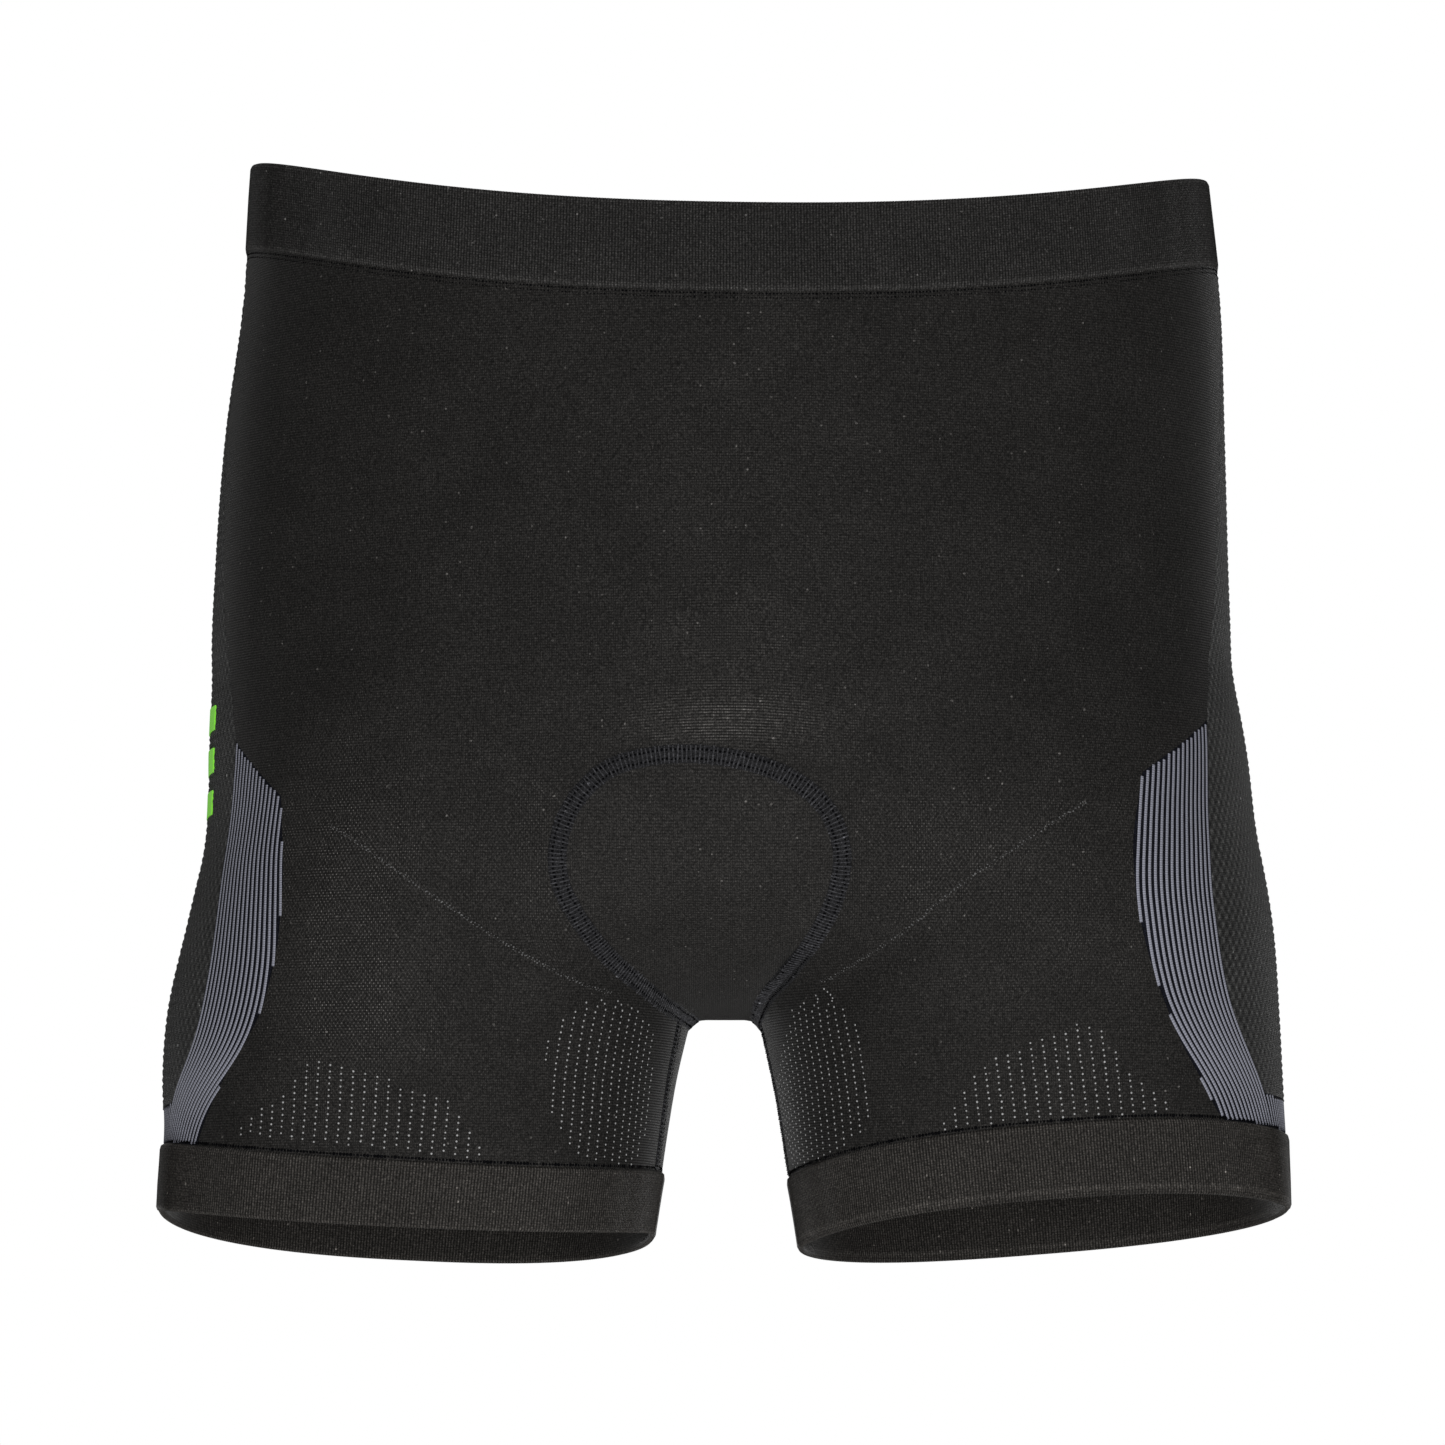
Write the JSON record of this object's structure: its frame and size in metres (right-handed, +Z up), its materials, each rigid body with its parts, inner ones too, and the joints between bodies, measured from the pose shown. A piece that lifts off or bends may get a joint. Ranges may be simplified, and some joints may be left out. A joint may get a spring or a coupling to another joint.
{
  "type": "cycling shorts",
  "caption": "Hollow pull-on knitted cycling shorts to mid thigh, filled out as worn, with ribbed waistband, thigh ribs, mesh sides, crotch gusset and cuffs.",
  "frame": {"origin": "middle of the waist, level with the top edge at the sides, where the wearer holds the garment up", "axes": "+X across the garment towards the wearer's left, -Y the front, +Z up through the waist"},
  "size_m": [0.3715, 0.2405, 0.3596],
  "materials": {
    "jersey": "matte plain knit",
    "blue_grey_rib": "matte ribbed knit",
    "rib_band": "matte fine rib",
    "mesh_knit": "matte embossed mesh",
    "seam_thread": "flatlock thread"
  },
  "bodies": {
    "root": {"waistband": "rib_band", "front_panel": "jersey", "back_panel": "jersey", "thigh_front_right": "jersey", "thigh_front_left": "jersey", "rib_panel_right": "blue_grey_rib", "rib_panel_left": "blue_grey_rib", "hem_strip_right": "blue_grey_rib", "hem_strip_left": "blue_grey_rib", "side_mesh_right": "mesh_knit", "side_mesh_left": "mesh_knit", "gusset": "jersey", "gusset_seam": "seam_thread", "inseam_right": "seam_thread", "inseam_left": "seam_thread", "cuff_right": "rib_band", "cuff_left": "rib_band"}
  },
  "joints": []
}
